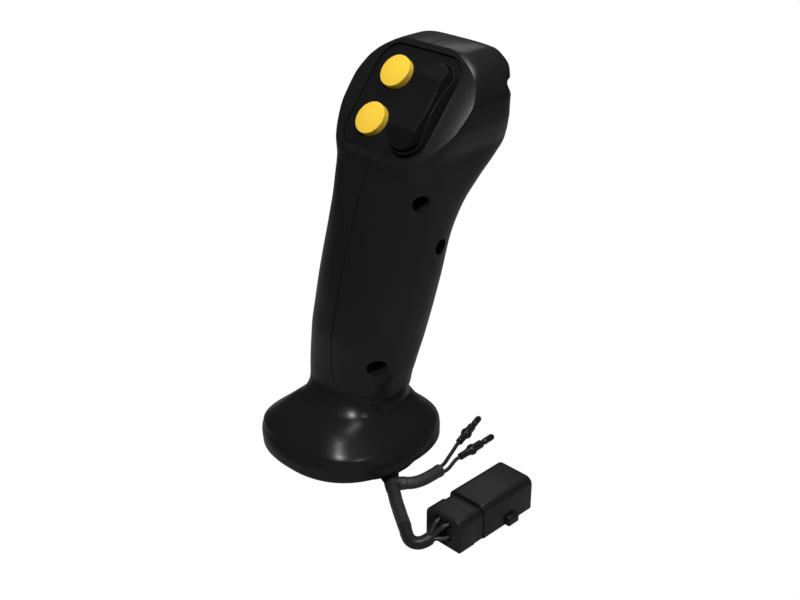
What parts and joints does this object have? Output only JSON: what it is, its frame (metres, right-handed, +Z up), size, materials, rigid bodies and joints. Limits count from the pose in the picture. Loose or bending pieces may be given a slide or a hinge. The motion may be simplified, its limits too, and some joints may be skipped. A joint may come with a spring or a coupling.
{
  "type": "industrial joystick grip",
  "caption": "Slanted-face control grip with push buttons, a rocker, a shaft adapter and a lead ending in a sealed connector and bullet terminals.",
  "frame": {"origin": "on the joystick shaft's axis, at the underside of the adapter", "axes": "+Z up along the shaft; -Y towards the operator and the switch face; +X to the side of the removable cover"},
  "size_m": [0.1362, 0.1233, 0.1984],
  "materials": {
    "body_plastic": "satin black moulding with a fine texture",
    "plate_plastic": "matte black",
    "button_yellow": "satin yellow",
    "rocker_plastic": "satin black",
    "inner_plastic": "plain black",
    "switch_plastic": "plain dark blue",
    "contact_metal": "tinned",
    "spring_steel": "bright drawn wire and pin",
    "black_steel": "black oxide",
    "brass": "turned",
    "adapter_metal": "black anodised",
    "cable_rubber": "matte black insulation",
    "braid": "black woven sleeve",
    "shrink_tube": "satin shrink tube",
    "bullet_boot_rubber": "matte black",
    "bullet_pin_metal": "dark plated",
    "connector_plastic": "satin black",
    "seal_rubber": "soft seal"
  },
  "bodies": {
    "root": {"main_body": "body_plastic", "right_cover": "body_plastic", "cover_screws": "black_steel", "cover_inserts": "brass", "face_plate": "plate_plastic", "upper_button_spring": "spring_steel", "upper_button_housing": "inner_plastic", "upper_button_switch": "switch_plastic", "upper_button_terminals": "contact_metal", "lower_button_spring": "spring_steel", "lower_button_housing": "inner_plastic", "lower_button_switch": "switch_plastic", "lower_button_terminals": "contact_metal", "button_carrier": "inner_plastic", "carrier_screws": "black_steel", "rocker_frame": "plate_plastic", "rocker_pin": "spring_steel", "rocker_clip": "black_steel", "rocker_upper_spring": "spring_steel", "rocker_lower_spring": "spring_steel", "rocker_switches": "switch_plastic", "rocker_terminals": "contact_metal", "adapter": "adapter_metal", "clamp_screw": "black_steel", "adapter_screws": "black_steel", "adapter_inserts": "brass", "inner_harness": "cable_rubber", "strain_relief": "cable_rubber", "breakout_boot": "cable_rubber", "long_sleeve": "braid", "long_ring": "shrink_tube", "wire_1": "cable_rubber", "wire_2": "cable_rubber", "wire_3": "cable_rubber", "wire_4": "cable_rubber", "short_sleeve": "braid", "short_ring": "shrink_tube", "lead_a": "cable_rubber", "lead_b": "cable_rubber", "bullet_a_boot": "bullet_boot_rubber", "bullet_a_pin": "bullet_pin_metal", "bullet_b_boot": "bullet_boot_rubber", "bullet_b_pin": "bullet_pin_metal", "connector_rear": "connector_plastic", "connector_seal": "seal_rubber", "connector_housing": "connector_plastic", "connector_seal_ring": "seal_rubber", "connector_contacts": "contact_metal"},
    "upper_button": {"upper_button_cap": "button_yellow", "upper_button_stem": "inner_plastic"},
    "lower_button": {"lower_button_cap": "button_yellow", "lower_button_stem": "inner_plastic"},
    "rocker": {"rocker_cap": "rocker_plastic"}
  },
  "joints": [
    {"name": "upper_button_press", "type": "slide", "parent": "root", "child": "upper_button", "axis": [0, 0.7559, -0.6547], "range_m": [0, 0.0024], "stiffness_N_per_m": 900, "springref_m": -0.0015, "deforming": ["upper_button_spring"]},
    {"name": "lower_button_press", "type": "slide", "parent": "root", "child": "lower_button", "axis": [0, 0.7559, -0.6547], "range_m": [0, 0.0024], "stiffness_N_per_m": 900, "springref_m": -0.0015, "deforming": ["lower_button_spring"]},
    {"name": "rocker_tilt", "type": "hinge", "parent": "root", "child": "rocker", "pos_m": [0.0153, 0.02546, 0.1765], "axis": [1, 0, 0], "range_deg": [-7, 7], "stiffness_Nm_per_rad": 0.35, "deforming": ["rocker_upper_spring", "rocker_lower_spring"]}
  ]
}
